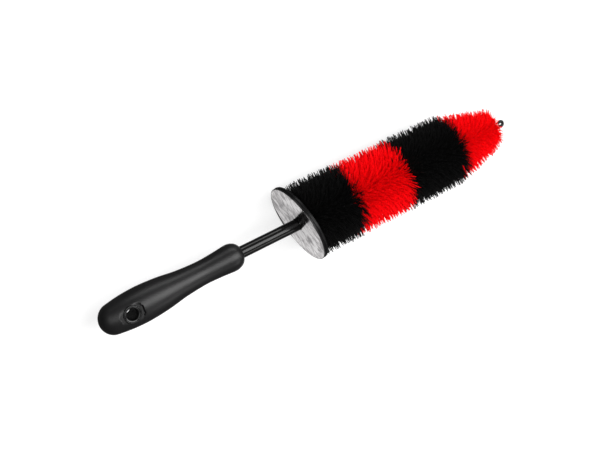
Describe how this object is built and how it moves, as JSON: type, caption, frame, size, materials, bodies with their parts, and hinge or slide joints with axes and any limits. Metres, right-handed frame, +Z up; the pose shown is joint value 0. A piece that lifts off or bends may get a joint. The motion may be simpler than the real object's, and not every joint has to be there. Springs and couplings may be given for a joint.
{
  "type": "wheel brush",
  "caption": "Hand brush for car wheels: soft-grip handle, sleeved stem, round splash guard, and a banded bristle head on a twisted wire that ends in a small eye.",
  "frame": {"origin": "on the surface under the guard's rim, at the middle of the overall length", "axes": "+X along the brush from the butt of the handle to the tip, +Z up and along the hang hole, +Y to the side the handle's belly leans away from"},
  "size_m": [0.4299, 0.0743, 0.075],
  "materials": {
    "grip_rubber": "satin",
    "core_plastic": "satin",
    "sleeve_plastic": "gloss",
    "wire_steel": "satin",
    "tip_vinyl": "satin",
    "guard_plate": "polished",
    "guard_plastic": "satin",
    "bristle_black": "satin",
    "bristle_red": "satin"
  },
  "bodies": {
    "brush": {"handle_grip": "grip_rubber", "handle_core": "core_plastic", "stem_sleeve": "sleeve_plastic", "core_wire": "wire_steel", "tip_cap": "tip_vinyl", "bristles_black_rear": "bristle_black", "bristles_red_rear": "bristle_red", "bristles_black_front": "bristle_black", "bristles_red_tip": "bristle_red"},
    "guard": {"guard_disc": "guard_plastic", "guard_face": "guard_plate"}
  },
  "joints": [
    {"name": "guard_spin", "type": "hinge", "parent": "brush", "child": "guard", "pos_m": [-0.0242, 0, 0.0375], "axis": [0.9848, 0.1736, 0], "continuous": true}
  ]
}
